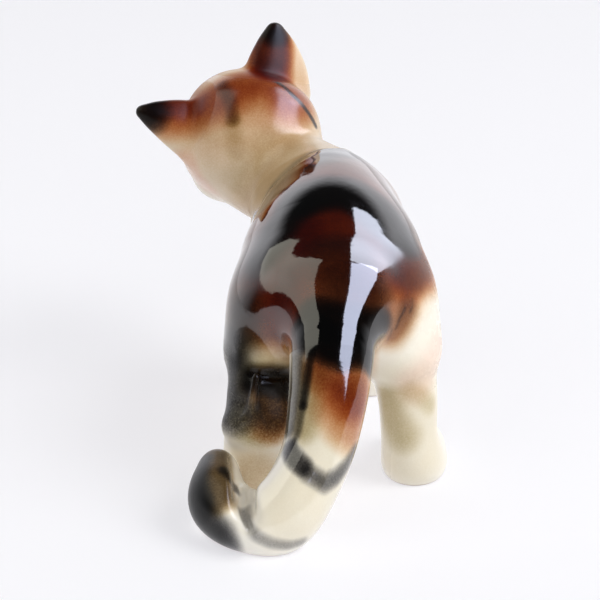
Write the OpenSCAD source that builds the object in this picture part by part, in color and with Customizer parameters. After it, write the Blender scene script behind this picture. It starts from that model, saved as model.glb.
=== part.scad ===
// Glazed ceramic kitten figurine, assembled from slip castings that are luted together with slip.
// It faces -Y, +Z is up and its own left side is +X. The origin is the middle of its footprint.
// The body and the head are hollow. The ears, legs and tail are solid.

/* [Figure] */
// Height from the table to the tip of the raised ear
height = 82.4; // [60:0.2:140]
// Width of the torso at its widest, just ahead of the hips
torso_width = 41; // [38:0.5:43]
// Thickness of the fired clay in the hollow pieces
wall = 3; // [2:0.25:4]
// Diameter of the firing vent under the belly
vent_diameter = 4; // [3:0.5:6]

/* [Head] */
// Width of the head across the cheeks
head_width = 33; // [31:0.5:35]
// Turn of the head towards its own left, in degrees
head_turn = 26; // [18:1:32]
// Tilt of the head towards its left shoulder, in degrees
head_tilt = 28; // [22:1:32]
// Length of an ear from its root in the skull
ear_length = 16; // [13:0.5:18]
// Lean of each ear away from upright, in degrees
ear_splay = 37; // [32:1:42]

/* [Legs and tail] */
// Thickness of the hind legs above the foot
leg_thickness = 12.4; // [11:0.2:14]
// Thickness of the tail where it leaves the rump
tail_thickness = 16.4; // [15:0.2:17.6]

/* [Smoothness] */
// Steps between two neighbouring stations of a limb
steps = 3; // [2:1:3]
// Facets round a limb
facets = 24; // [16:2:26]

/* [Hidden] */

// The stations below are written for a figure 82.4 mm high and are scaled to the height asked for.
figure_scale = height / 82.4;
clay = wall / figure_scale;
tw = torso_width / 41;
hw = head_width / 33;
lt = leg_thickness / 12.4;
tt = tail_thickness / 16.4;
far = 200;
footprint_middle = [10, 2.3, 0];

// Glaze colours
dark_glaze = "#4a2018";
rust_glaze = "#96502f";
cream_glaze = "#eadfc8";
smoke_glaze = "#5c5148";

// A station is [x, y, z, half width, half length, half height] of an egg on the limb's middle line.
torso = [[0, 28.5, 42.4, 17 * tw, 9, 12.6], [0, 19, 42, 20 * tw, 12, 16.5], [0, 8, 43, 20.5 * tw, 13, 19],
         [0, -5, 43.8, 17.5 * tw, 12, 19.2], [0.5, -17, 43.8, 15.8 * tw, 11, 18], [3.5, -26, 43.8, 13, 10, 15.6]];
neck = [[3, -22, 46, 12, 11, 14], [9.6, -31, 49.6, 11.2, 11, 13], [16, -39, 52, 12, 12, 14]];
haunch_left = [[11, 20, 37, 12, 13, 14], [13.8, 25, 29.5, 9.8, 11, 9.8], [14.8, 33, 20, 7.8 * lt, 7, 8]];
haunch_right = [[-11, 18, 37, 12, 13, 14], [-14.5, 21, 28, 9.4, 10.5, 9.5], [-16.4, 24, 18, 6.4 * lt, 6.5, 7]];
shoulder_left = [[9.3, -17, 42, 9, 9, 13], [9.5, -21, 28, 7, 7.5, 9], [10, -22, 17, 5.2, 5.4, 7]];
shoulder_right = [[-8, -16, 42, 9, 9, 13], [-9, -19, 28, 7, 7.5, 9], [-9.5, -20, 17, 5.2, 5.4, 7]];
shin_left = [[14.8, 33, 20, 7.8 * lt, 7, 8], [15.6, 33, 11, 7.6 * lt, 6.6, 7],
             [16.6, 30, 3.4, 6.9 * lt, 8, 6], [17, 22, 3, 6.9 * lt, 8, 5]];
shin_right = [[-16.4, 24, 18, 6.4 * lt, 6.5, 7], [-16.8, 24.5, 10, 6.2 * lt, 6.2, 6],
              [-18, 22.5, 3.2, 7.2 * lt, 8, 6], [-18.4, 14, 3, 7 * lt, 8, 5]];
paw_left = [[10, -22, 17, 5.2, 5.4, 7], [10, -23, 8, 4.9, 5.2, 6],
            [10, -25, 3.2, 5.8, 6.8, 5.4], [10, -30, 3, 5.8, 6.4, 4.8]];
paw_right = [[-9.5, -20, 17, 5.2, 5.4, 7], [-9.5, -21, 8, 4.9, 5.2, 6],
             [-9.5, -23, 3.2, 5.8, 6.8, 5.4], [-9.5, -28, 3, 5.8, 6.4, 4.8]];
tail_line = [[-0.3, 27, 45, 9.4 * tt, 8.5, 8.5], [0.2, 37.3, 38.3, 9 * tt, 8.4, 8.4],
             [1.2, 44.5, 28, 8.2 * tt, 7.6, 7.6], [3.8, 50, 17, 7.4 * tt, 7.2, 7.4], [10, 56, 7.6, 7.2, 7.4, 8.4],
             [17.3, 55.6, 5.6, 6.8, 7.4, 6.8], [23.6, 49, 6.4, 6.6, 6.8, 7.6], [24.4, 40.5, 7.6, 4.8, 5, 6.6]];

// The head's stations are in its own axes, from the middle of the skull.
head_middle = [19, -42, 55.6];
skull = [[0, 2, 0, 16.3 * hw, 15, 15], [0, -1, -0.5, 16.3 * hw, 15, 15], [0, -5, -2, 14 * hw, 12.7, 12.5]];
crown = [[0, 4.5, 3.5, 12.5 * hw, 11, 12.7], [0, -1.5, 4.5, 13 * hw, 12, 13]];
muzzle = [[0, -8, -3.5, 9 * hw, 8, 8], [0, -12, -5, 6.4, 5.8, 5.4], [0, -14.6, -5.9, 5, 3.6, 3.4]];
cheek = [9, -7, -5.5, 7, 7, 6.5];
eye = [6.2, -12.3, 1.6, 3.3, 2.9, 2.9];
nose = [0, -17.4, -3.1, 1.9, 1.3, 1.3];
// An ear's stations run along its own length, from its root in the skull to the tip.
// The left ear is narrower than the right one, and stands a little closer to the middle of the skull.
ear_root = [10.8, 0, 8];
ear_left_line = [[-1, 0.5, -1, 7.8, 4.6, 5], [-1.3, 0, 5.5, 5.9, 3.8, 4], [-1.2, -0.5, 10.5, 3.8, 2.8, 3],
                 [-0.9, -1, ear_length - 1.5, 1.6, 1.6, 1.6]];
ear_right_line = [[1.3, 0.5, -1, 9.2, 4.8, 5], [1.2, 0, 5, 7.7, 4, 4], [0.8, -0.5, 10, 5.2, 2.9, 3],
                  [0.2, -1, ear_length - 1.9, 2.2, 1.8, 1.9]];
ear_left_hollow = [[-1, -4.2, 1, 5.4, 3.6, 4], [-1.3, -4, 6, 4, 2.8, 3.4], [-1.2, -3.4, 10.5, 1.9, 1.4, 2]];
ear_right_hollow = [[1.3, -4.2, 1, 6.6, 3.6, 4], [1.2, -4, 5.5, 5.2, 2.8, 3.4], [0.8, -3.4, 10, 2.6, 1.4, 2]];

// Joint faces: a point on each face, and the turn of its normal away from straight up.
hip_left_z = 25;
hip_right_z = 22;
shoulder_z = 23;
neck_joint = [6.5, -28, 48];
neck_lean = [48, 22, 0];
hip_block = [40, 60, 60];
belly_clearance = 5;
// Where the blocks that hold the legs begin along the spine.
hind_block_front = 5;
fore_block_rear = -8;
vent_y = 2;
vent_reach = 40;
vent_facets = 24;

// A point on the Catmull-Rom curve from b to c, at t from 0 to 1.
function blend(a, b, c, d, t) =
    0.5 * (2 * b + (c - a) * t + (2 * a - 5 * b + 4 * c - d) * t * t + (3 * b - a - 3 * c + d) * t * t * t);

// A station of the line, carried on in a straight line past either end.
function station(line, i) =
    i < 0 ? 2 * line[0] - line[1]
          : i >= len(line) ? 2 * line[len(line) - 1] - line[len(line) - 2] : line[i];

function smooth(line) = [
    for (i = [0 : len(line) - 2], s = [0 : steps - 1])
        blend(station(line, i - 1), line[i], line[i + 1], station(line, i + 2), s / steps),
    line[len(line) - 1]];

// One egg of a limb, thinned by the wall where it shapes a cavity.
module egg(st, thin) {
    translate([st[0], st[1], st[2]])
        scale([st[3] - thin, st[4] - thin, st[5] - thin])
            sphere(r = 1, $fn = facets);
}

// A rounded limb through all the stations of a line.
module limb(line, thin = 0) {
    eggs = smooth(line);
    for (i = [0 : len(eggs) - 2])
        hull() {
            egg(eggs[i], thin);
            egg(eggs[i + 1], thin);
        }
}

// The whole figure is modelled about its spine, then scaled and centred on its footprint.
module on_table() scale(figure_scale) translate(-footprint_middle) children();
module on_head() translate(head_middle) rotate([0, head_tilt, 0]) rotate([0, 0, head_turn]) children();

// Everything on the side of a plane that its normal points to.
module beyond(point, lean) {
    translate(point)
        rotate(lean)
            translate([-far, -far, 0])
                cube([2 * far, 2 * far, far]);
}
module under_table() translate([-far, -far, -far]) cube([2 * far, 2 * far, far]);

// Blocks that hold everything below a leg's joint face.
module hind_block(side, top) {
    middle_x = side * (belly_clearance + hip_block.x / 2);
    middle_y = hind_block_front + hip_block.y / 2;
    translate([middle_x, middle_y, top - hip_block.z / 2])
        cube(hip_block, center = true);
}
module fore_block(top) {
    translate([-far, fore_block_rear - far, top - far])
        cube([2 * far, far, far]);
}

module hind_left_mass() {
    limb(haunch_left);
    limb(shin_left);
}
module hind_right_mass() {
    limb(haunch_right);
    limb(shin_right);
}
module fore_left_mass() {
    limb(shoulder_left);
    limb(paw_left);
}
module fore_right_mass() {
    limb(shoulder_right);
    limb(paw_right);
}

// The body as if it were solid, cut flat where the head and the legs are luted on.
module body_solid() {
    difference() {
        union() {
            limb(torso);
            limb(neck);
            limb(haunch_left);
            limb(haunch_right);
            limb(shoulder_left);
            limb(shoulder_right);
        }
        beyond(neck_joint, neck_lean);
        hind_block(1, hip_left_z);
        hind_block(-1, hip_right_z);
        fore_block(shoulder_z);
    }
}

// One egg and its twin on the other side of the face.
module pair(st) {
    egg(st, 0);
    mirror([1, 0, 0]) egg(st, 0);
}

module head_solid() {
    limb(neck);
    on_head() {
        limb(skull);
        limb(crown);
        limb(muzzle);
        pair(cheek);
        pair(eye);
        egg(nose, 0);
    }
}

module body() color(dark_glaze) on_table() difference() {
    body_solid();
    limb(torso, clay);
    limb(neck, clay);
    translate([0, vent_y, 0])
        cylinder(h = vent_reach, d = vent_diameter / figure_scale, $fn = vent_facets);
}

module head() color(cream_glaze) on_table() difference() {
    intersection() {
        head_solid();
        beyond(neck_joint, neck_lean);
    }
    limb(neck, clay);
    on_head() limb(skull, clay);
}

module ear_axes(side) {
    on_head()
        mirror([side < 0 ? 1 : 0, 0, 0])
            translate(ear_root)
                rotate([0, ear_splay, 0])
                    children();
}
module ear(side, line, hollow) difference() {
    ear_axes(side) difference() {
        limb(line);
        limb(hollow);
    }
    head_solid();
}
module ear_left() color(rust_glaze) on_table() ear(1, ear_left_line, ear_left_hollow);
module ear_right() color(rust_glaze) on_table() ear(-1, ear_right_line, ear_right_hollow);

module leg(shade, block_side, top) color(shade) on_table() difference() {
    intersection() {
        children();
        if (block_side == 0) fore_block(top);
        else hind_block(block_side, top);
    }
    under_table();
}
module hind_leg_left() leg(smoke_glaze, 1, hip_left_z) hind_left_mass();
module hind_leg_right() leg(cream_glaze, -1, hip_right_z) hind_right_mass();
module foreleg_left() leg(cream_glaze, 0, shoulder_z) fore_left_mass();
module foreleg_right() leg(cream_glaze, 0, shoulder_z) fore_right_mass();

module tail() color(rust_glaze) on_table() difference() {
    limb(tail_line);
    body_solid();
    hind_left_mass();
    under_table();
}

body();
head();
ear_left();
ear_right();
foreleg_left();
foreleg_right();
hind_leg_left();
hind_leg_right();
tail();
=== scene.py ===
import bpy
import math
from mathutils import Matrix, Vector
import numpy as np
import openvdb


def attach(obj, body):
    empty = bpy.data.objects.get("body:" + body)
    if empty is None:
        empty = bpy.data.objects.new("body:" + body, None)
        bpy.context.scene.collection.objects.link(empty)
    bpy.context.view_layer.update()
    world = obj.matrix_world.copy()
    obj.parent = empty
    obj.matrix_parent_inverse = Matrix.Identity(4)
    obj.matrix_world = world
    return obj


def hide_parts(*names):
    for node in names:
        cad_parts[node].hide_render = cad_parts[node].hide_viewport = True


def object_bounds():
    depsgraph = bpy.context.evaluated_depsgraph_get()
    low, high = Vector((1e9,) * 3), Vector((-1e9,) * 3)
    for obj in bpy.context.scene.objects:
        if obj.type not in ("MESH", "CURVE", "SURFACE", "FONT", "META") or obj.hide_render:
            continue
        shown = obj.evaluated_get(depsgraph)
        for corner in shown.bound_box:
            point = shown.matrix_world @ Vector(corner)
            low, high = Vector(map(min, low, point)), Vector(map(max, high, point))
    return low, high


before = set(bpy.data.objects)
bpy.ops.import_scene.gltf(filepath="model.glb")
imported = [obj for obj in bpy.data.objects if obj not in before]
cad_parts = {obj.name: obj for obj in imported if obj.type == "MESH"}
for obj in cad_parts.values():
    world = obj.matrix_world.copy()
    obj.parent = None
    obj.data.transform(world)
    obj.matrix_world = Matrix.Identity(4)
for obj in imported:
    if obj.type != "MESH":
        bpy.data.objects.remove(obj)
CAD_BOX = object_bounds()

# ---------------------------------------------------------------- frame and scale
MM = 0.001
DESIGN_HEIGHT = 82.4                                  # mm, the height that the stations are written for
FOOTPRINT_MIDDLE = np.array([10.0, 2.3, 0.0])         # spine mm, the middle of the footprint
cad_low, cad_high = np.array(CAD_BOX[0]), np.array(CAD_BOX[1])
SCALE = (cad_high[2] - cad_low[2]) / (DESIGN_HEIGHT * MM)
FRAME_MIDDLE = np.array([(cad_low[0] + cad_high[0]) / 2, (cad_low[1] + cad_high[1]) / 2, cad_low[2]])


def to_frame(points):
    """Spine millimetres to frame metres."""
    return (np.asarray(points, float) - FOOTPRINT_MIDDLE) * MM * SCALE + FRAME_MIDDLE


def ramp(value, none, full):
    """Goes evenly from 0, where a value is `none`, to 1, where it is `full`."""
    return np.clip((value - none) / (full - none), 0, 1)


def smoothstep(t):
    """The same from 0 to 1, with both ends eased."""
    return t * t * (3 - 2 * t)


# ---------------------------------------------------------------- clay
# The figure is a distance field on a grid, in spine mm: x to its left, y to its tail, z up.
VOXEL = 0.42
FAR = 30.0                                            # mm, the field's value where there is nothing
SHARPNESS = 34.0                                      # how fast an egg's pull on the skin falls off
CROWDING = 0.16                                       # the gap between eggs, as a part of their least radius
EMPTY = 1e-30                                         # a pull too small to count
SOLE = 0.3                                            # mm, the height below which a point is on the table
LOW = np.array([-28.0, -64.0, -3.0])
HIGH = np.array([50.0, 68.0, 86.0])
SHAPE = np.ceil((HIGH - LOW) / VOXEL).astype(int)
field = np.full(SHAPE, FAR, np.float32)

HEAD_MIDDLE = np.array([19.0, -42.0, 55.6])
HEAD_TURN, HEAD_TILT = math.radians(26), math.radians(28)
EAR_ROOT = np.array([10.8, 0.0, 8.0])
EAR_SPLAY = math.radians(37)


def turn_y(a):
    """A turn about Y by an angle in radians."""
    return np.array([[math.cos(a), 0, math.sin(a)], [0, 1, 0], [-math.sin(a), 0, math.cos(a)]])


def turn_z(a):
    """A turn about Z by an angle in radians."""
    return np.array([[math.cos(a), -math.sin(a), 0], [math.sin(a), math.cos(a), 0], [0, 0, 1]])


# Axes are a turn and an origin. An egg is a middle and three radii: x, y, z, rx, ry, rz.
SPINE = (np.eye(3), np.zeros(3))
HEAD = (turn_y(HEAD_TILT) @ turn_z(HEAD_TURN), HEAD_MIDDLE)


def ear_axes(side):
    """Axes at the root of the left ear (side 1) or the right ear (side -1), with Z along the ear."""
    mirror = np.diag([side, 1.0, 1.0])
    return (HEAD[0] @ mirror @ turn_y(EAR_SPLAY), HEAD[0] @ mirror @ EAR_ROOT + HEAD_MIDDLE)


def smooth(line):
    """Eggs close together on the Catmull-Rom curve through a line's stations."""
    line = np.array(line, float)
    ends = np.vstack([2 * line[0] - line[1], line, 2 * line[-1] - line[-2]])
    eggs = []
    for i in range(1, len(ends) - 2):
        a, b, c, d = ends[i - 1:i + 3]
        gap = CROWDING * min(b[3:].min(), c[3:].min())
        n = max(2, int(np.linalg.norm(c[:3] - b[:3]) / gap))
        for s in range(n):
            t = s / n
            eggs.append(0.5 * (2 * b + (c - a) * t + (2 * a - 5 * b + 4 * c - d) * t * t
                               + (3 * b - a - 3 * c + d) * t ** 3))
    eggs.append(line[-1])
    return np.array(eggs)


def window(low, high):
    """The part of the grid between two corners, as slices."""
    i0 = np.clip(np.floor((low - LOW) / VOXEL).astype(int), 0, SHAPE)
    i1 = np.clip(np.ceil((high - LOW) / VOXEL).astype(int) + 1, 0, SHAPE)
    return tuple(slice(a, b) for a, b in zip(i0, i1))


def points_in(win):
    return np.meshgrid(*[(LOW[k] + VOXEL * np.arange(s.start, s.stop)).astype(np.float32)
                         for k, s in enumerate(win)], indexing="ij")


def form(line, k, axes=SPINE):
    """The distance field of a limb, in its window: one smooth skin over all its eggs."""
    turn, origin = axes
    reach = 2 * k + 4
    eggs = smooth(line) if len(line) > 1 else np.array(line, float)
    centres = eggs[:, :3] @ turn.T + origin
    spans = np.sqrt(((turn[None] * eggs[:, None, 3:]) ** 2).sum(2)) + reach
    win = window((centres - spans).min(0), (centres + spans).max(0))
    start = np.array([s.start for s in win])
    total = np.zeros([s.stop - s.start for s in win], np.float32)
    for egg, centre, span in zip(eggs, centres, spans):
        part = window(centre - span, centre + span)
        if any(s.stop <= s.start for s in part):
            continue
        x, y, z = (g - c for g, c in zip(points_in(part), centre.astype(np.float32)))
        local = [x * turn[0, k] + y * turn[1, k] + z * turn[2, k] for k in range(3)]
        size = np.sqrt(sum((g / np.float32(r)) ** 2 for g, r in zip(local, egg[3:])))
        inner = tuple(slice(s.start - o, s.stop - o) for s, o in zip(part, start))
        total[inner] += np.exp(-SHARPNESS * (size - 1))
    step = np.linalg.norm(np.diff(eggs[:, :3], axis=0), axis=1).mean() if len(eggs) > 1 else 1e9
    crowd = max(1.0, math.sqrt(2 * math.pi / SHARPNESS) * eggs[:, 3:].mean() / step)
    level = 1 - np.log(np.maximum(total, EMPTY) / crowd) / SHARPNESS
    level = np.where(total > EMPTY, level, 3).astype(np.float32)
    slope = np.sqrt(sum(g * g for g in np.gradient(level, VOXEL)))
    dist = (level - 1) / np.maximum(slope, 0.02)
    dist = np.where(level > 1, np.maximum(dist, (level - 1) * eggs[:, 3:].min()), dist)
    dist = np.clip(dist, -reach, reach - 1)
    unknown = total <= EMPTY
    for k in range(3):
        for way in (1, -1):
            unknown |= np.roll(total <= EMPTY, way, k)
    dist[unknown] = reach - 1
    return win, dist


def join(a, b, k):
    """Two fields as one, with a fillet about k mm wide where they meet."""
    h = np.clip(0.5 + 0.5 * (b - a) / k, 0, 1)
    return b + (a - b) * h - k * h * (1 - h)


def add(line, k, axes=SPINE):
    """Adds clay along a row of eggs, with a fillet of k mm."""
    win, dist = form(line, k, axes)
    field[win] = join(field[win], dist, k)


def carve(line, k, axes=SPINE):
    """Takes clay away along a row of eggs, with a rounded rim of k mm."""
    win, dist = form(line, k, axes)
    field[win] = -join(-field[win], dist, k)


def groove(shape, line, k):
    """A furrow cut into one limb's own distance field before it joins the rest."""
    win, dist = form(line, k)
    shape[win] = -join(-shape[win], dist, k)


def both(make):
    """Makes something on the left side and on the right."""
    for side in (1, -1):
        make(side)


# ---------------------------------------------------------------- stations: rows of eggs
TORSO = [[0, 28, 42, 17, 9, 12.5], [0, 19, 42, 20, 12, 16.5], [0, 8, 43, 20.5, 13, 19],
         [0, -5, 43.8, 17.5, 12, 19.2], [0.5, -17, 43.8, 15.8, 11, 18], [3.5, -26, 43.8, 13, 10, 15.6]]
NECK = [[3, -22, 46, 12, 11, 14], [9.6, -31, 49.6, 11.2, 11, 13], [16, -39, 52, 12, 12, 14]]
HAUNCH_LEFT = [[11, 20, 37, 12, 13, 14], [13.8, 25, 30, 9.8, 11, 9.5]]
HAUNCH_RIGHT = [[-11, 18, 37, 12, 13, 14], [-14.5, 21, 29, 9.4, 10.5, 9]]
SHOULDER_LEFT = [[9.3, -17, 42, 9, 9, 13], [9.5, -21, 28, 7, 7.5, 9], [10, -22, 17, 5.2, 5.4, 7]]
SHOULDER_RIGHT = [[-8, -16, 42, 9, 9, 13], [-9, -19, 28, 7, 7.5, 9], [-9.5, -20, 17, 5.2, 5.4, 7]]
SHIN_LEFT = [[14.6, 30, 27, 7.6, 7.5, 7], [14.8, 33, 20, 8, 7, 8], [15.6, 33, 11, 7.8, 6.6, 7],
             [16.6, 30, 3.4, 6.9, 8, 6], [17, 22, 3, 6.9, 8, 5]]
SHIN_RIGHT = [[-15.5, 22, 25, 7, 7, 7], [-16.4, 24, 18, 6.4, 6.5, 7], [-16.8, 24.5, 10, 6.2, 6.2, 6],
              [-18, 22.5, 3.2, 7.2, 8, 6], [-18.4, 14, 3, 7, 8, 5]]
PAW_LEFT = [[10, -22, 17, 5.2, 5.4, 7], [10, -23, 8, 4.9, 5.2, 6],
            [10, -25, 3.2, 5.8, 6.8, 5.4], [10, -30, 3, 5.8, 6.4, 4.8]]
PAW_RIGHT = [[-9.5, -20, 17, 5.2, 5.4, 7], [-9.5, -21, 8, 4.9, 5.2, 6],
             [-9.5, -23, 3.2, 5.8, 6.8, 5.4], [-9.5, -28, 3, 5.8, 6.4, 4.8]]
TAIL = [[-0.3, 27, 45, 9.4, 8.5, 8.5], [0.2, 37.3, 38.3, 9, 8.4, 8.4], [1.2, 44.5, 28, 8.2, 7.6, 7.6],
        [3.8, 50, 17, 7.4, 7.2, 7.4], [10, 56, 7.6, 7.2, 7.4, 8.4], [17.3, 55.6, 5.6, 6.8, 7.4, 6.8],
        [23.6, 49, 6.4, 6.6, 6.8, 7.6], [24.4, 40.5, 7.6, 4.8, 5, 6.6]]
EAR_LEFT = [[-1, 0.5, -1, 7.8, 4.6, 5], [-1.3, 0, 5.5, 5.9, 3.8, 4], [-1.2, -0.5, 10.5, 3.8, 2.8, 3],
            [-0.9, -1, 14.5, 1.6, 1.6, 1.6]]
EAR_RIGHT = [[1.3, 0.5, -1, 9.2, 4.8, 5], [1.2, 0, 5, 7.7, 4, 4], [0.8, -0.5, 10, 5.2, 2.9, 3],
             [0.2, -1, 13.9, 2.2, 1.8, 1.9]]
HOLLOW_LEFT = [[-1, -4.2, 1, 5.4, 3.6, 4], [-1.3, -4, 6, 4, 2.8, 3.4], [-1.2, -3.4, 10.5, 1.9, 1.4, 2]]
HOLLOW_RIGHT = [[1.3, -4.2, 1, 6.6, 3.6, 4], [1.2, -4, 5.5, 5.2, 2.8, 3.4], [0.8, -3.4, 10, 2.6, 1.4, 2]]


# ---------------------------------------------------------------- modelling
def egg(x, y, z, rx, ry, rz):
    return [[x, y, z, rx, ry, rz]]


def rod(path, r):
    """A round rod of one radius through some points."""
    return [list(point) + [r, r, r] for point in path]


def model_trunk():
    add(TORSO, 1)
    add(NECK, 3.5)
    add(HAUNCH_LEFT, 5)
    add(HAUNCH_RIGHT, 5)
    add(SHOULDER_LEFT, 4)
    add(SHOULDER_RIGHT, 4)
    add(egg(-0.3, 30, 43.2, 10.5, 9, 8.8), 6)


def model_left_hock():
    """The fold under the left haunch, the tendon below it and the heel."""
    carve(rod([(8.5, 35, 29), (12, 36.6, 29.4), (15, 37.2, 29.9), (17, 36.8, 30.2)], 1.0), 0.8)
    carve(egg(20.6, 39.3, 24.5, 2.2, 1.5, 5), 2)
    carve(egg(13.0, 39.4, 24, 2.2, 1.4, 5), 2)
    add(rod([(16.2, 38, 30), (16.9, 39.3, 26), (17.8, 39.6, 20.5)], 0.75), 1.4)
    add(egg(19.2, 37, 18.0, 4.2, 3, 3.6), 3)


def model_foot(x, y, width):
    """Four toes at the front of a foot, whose last egg is centred on x, y."""
    for n in (-1.5, -0.5, 0.5, 1.5):
        reach = 5.0 - 0.35 * n * n
        add(egg(x + n * width, y - reach, 2.5, 2.0, 3.0, 2.9), 0.9)
    for n in (-1, 0, 1):
        gap = x + n * width
        carve(rod([(gap, y - 8.5, 3.4), (gap, y - 4.5, 5.6), (gap, y - 2, 6.6)], 0.5), 0.9)


def model_legs():
    add(SHIN_LEFT, 1.6)
    add(SHIN_RIGHT, 1.2)
    add(PAW_LEFT, 2)
    add(PAW_RIGHT, 2)
    model_left_hock()
    model_foot(17, 22, 2.9)
    model_foot(-18.4, 14, 2.9)
    model_foot(10, -30, 2.5)
    model_foot(-9.5, -28, 2.5)


def model_head():
    add([[0, 2, 2.2, 16.3, 15, 12.8], [0, -1, 1.7, 16.3, 15, 12.8]], 3, HEAD)
    add([[0, 1, -3, 13, 13, 12], [0, -1, -3, 13, 13, 12]], 3, HEAD)
    add(egg(0, -1.5, 4.5, 13, 12, 13), 4, HEAD)
    add(egg(0, 4.5, 3.5, 12.5, 11, 12.5), 4, HEAD)
    add(egg(0, -5, -2, 13.5, 12.5, 12), 4, HEAD)
    both(lambda s: add(egg(s * 8, -7.5, -4.8, 6.2, 6.2, 5.8), 3, HEAD))
    add([[0, -8, -3, 8, 7, 7], [0, -12, -5, 5.8, 5.3, 4.8]], 3, HEAD)
    both(lambda s: add(egg(s * 2.5, -15, -5.8, 3.2, 3.2, 2.8), 1.2, HEAD))
    add(egg(0, -13.4, -9.4, 3.1, 2.9, 2.1), 1, HEAD)
    add([[0, -9, 3, 3, 3, 3], [0, -15.6, -2.3, 2.2, 2, 2]], 2.5, HEAD)
    both(lambda s: carve(egg(s * 6.3, -15.6, 1.6, 3.8, 1.9, 3.2), 1.2, HEAD))
    both(lambda s: add(egg(s * 6.2, -12.3, 1.6, 3.3, 2.9, 2.9), 0.3, HEAD))
    add(egg(0, -17.4, -3.1, 1.9, 1.3, 1.3), 0.5, HEAD)
    carve(rod([(0, -18.6, -4.5), (0, -18.4, -6.4), (0, -17.9, -7.5)], 0.5), 0.5, HEAD)
    both(lambda s: carve(rod([(0, -17.7, -7.9), (s * 2.6, -17.1, -8.6), (s * 4.8, -15, -7.8)], 0.5),
                         0.5, HEAD))
    add(egg(-5, 8, 1, 10, 9.5, 11), 3, HEAD)


def model_ears():
    for side, ear, hollow in ((1, EAR_LEFT, HOLLOW_LEFT), (-1, EAR_RIGHT, HOLLOW_RIGHT)):
        add(ear, 2, ear_axes(side))
        carve(hollow, 1, ear_axes(side))


COLLAR_TOP = (2.9, -16.3, 62.1)                       # where the edge crosses the nape
COLLAR_LEFT, COLLAR_RIGHT = 0.694, 0.25               # how it slants on either side
COLLAR_Y, COLLAR_Z = 0.415, 0.588
GLAZE_STEP, STEP_WIDTH, STEP_FADE = 0.42, 0.7, 2.5    # mm: height, width, how far back it thins out


def collar(points):
    """How far in front of the edge of the dark glaze a point lies, in mm: the head's side is positive."""
    x, y, z = (points[:, k] - COLLAR_TOP[k] for k in range(3))
    wave = 0.35 * np.sin(0.9 * points[:, 1] + 0.5 * points[:, 2])
    return np.where(x > 0, COLLAR_LEFT, COLLAR_RIGHT) * x - COLLAR_Y * y + COLLAR_Z * z + wave


def raise_dark_glaze():
    """The dark glaze is thick, and ends in a rounded step at the collar."""
    win = window(np.array([-22.0, -38, 34]), np.array([27.0, 12, 68]))
    grid_points = np.stack([g.ravel() for g in points_in(win)], 1).astype(float)
    behind = -collar(grid_points).reshape(field[win].shape)
    step = ramp(behind, 0, STEP_WIDTH)
    thick = GLAZE_STEP * step * step * (3 - 2 * step) * np.exp(-np.maximum(behind, 0) / STEP_FADE)
    field[win] -= thick.astype(np.float32)


model_trunk()
model_head()
model_ears()
model_legs()
VENT = rod([(0, 2, 22), (0, 2, 31)], 2.0)
carve(VENT, 0.4)
raise_dark_glaze()
rest_of_figure = field.copy()
tail_alone = np.full(SHAPE, FAR, np.float32)
tail_win, tail_dist = form(TAIL, 4.5)
tail_alone[tail_win] = tail_dist
groove(tail_alone, rod([(18.8, 42, 13.2), (18.6, 52, 11.6), (18.2, 64, 10)], 2.4), 2.2)
groove(tail_alone, rod([(19, 48, 9.6), (18.6, 57, 8.4), (17, 63.4, 7.2)], 0.7), 0.8)
# the tail flows out of the rump, and only leans on the leg
heights = LOW[2] + VOXEL * np.arange(SHAPE[2])
near_root = ramp(heights, 28, 40).astype(np.float32)
tail_fillet = 0.9 + 3.6 * near_root[None, None, tail_win[2]]
field[tail_win] = join(field[tail_win], tail_alone[tail_win], tail_fillet)
# everything stands flat on the table
table = -heights.astype(np.float32)
field[:] = np.maximum(field, table[None, None, :])


# ---------------------------------------------------------------- skin
def read_field(values, points):
    """A field's value at any points, between its voxels."""
    at = (points - LOW) / VOXEL
    i = np.clip(np.floor(at).astype(int), 0, SHAPE - 2)
    f = at - i
    total = 0
    for corner in np.ndindex(2, 2, 2):
        weight = np.prod([f[:, k] if corner[k] else 1 - f[:, k] for k in range(3)], axis=0)
        total = total + weight * values[i[:, 0] + corner[0], i[:, 1] + corner[1], i[:, 2] + corner[2]]
    return total


def relax(points, quads, rounds, free):
    """Points evened out along the skin, each smoothing followed by a swelling that undoes its shrinkage."""
    edges = np.vstack([quads[:, [k, (k + 1) % 4]] for k in range(4)])
    count = np.bincount(edges[:, 0], minlength=len(points)) + np.bincount(edges[:, 1], minlength=len(points))
    for _ in range(rounds):
        for amount in (0.5, -0.52):
            mean = np.stack([np.bincount(edges[:, 0], points[edges[:, 1], k], len(points))
                             + np.bincount(edges[:, 1], points[edges[:, 0], k], len(points))
                             for k in range(3)], 1) / count[:, None]
            points = points + (mean - points) * amount * free[:, None]
    return points


def corner_normals(points, tris):
    """The skin's normal at each point, so that shading runs on across the cuts."""
    a, b, c = (points[tris[:, k]] for k in range(3))
    face = np.cross(b - a, c - a)
    normal = np.stack([sum(np.bincount(tris[:, k], face[:, m], len(points)) for k in range(3))
                       for m in range(3)], 1)
    return normal / np.maximum(np.linalg.norm(normal, axis=1), 1e-12)[:, None]


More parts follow.
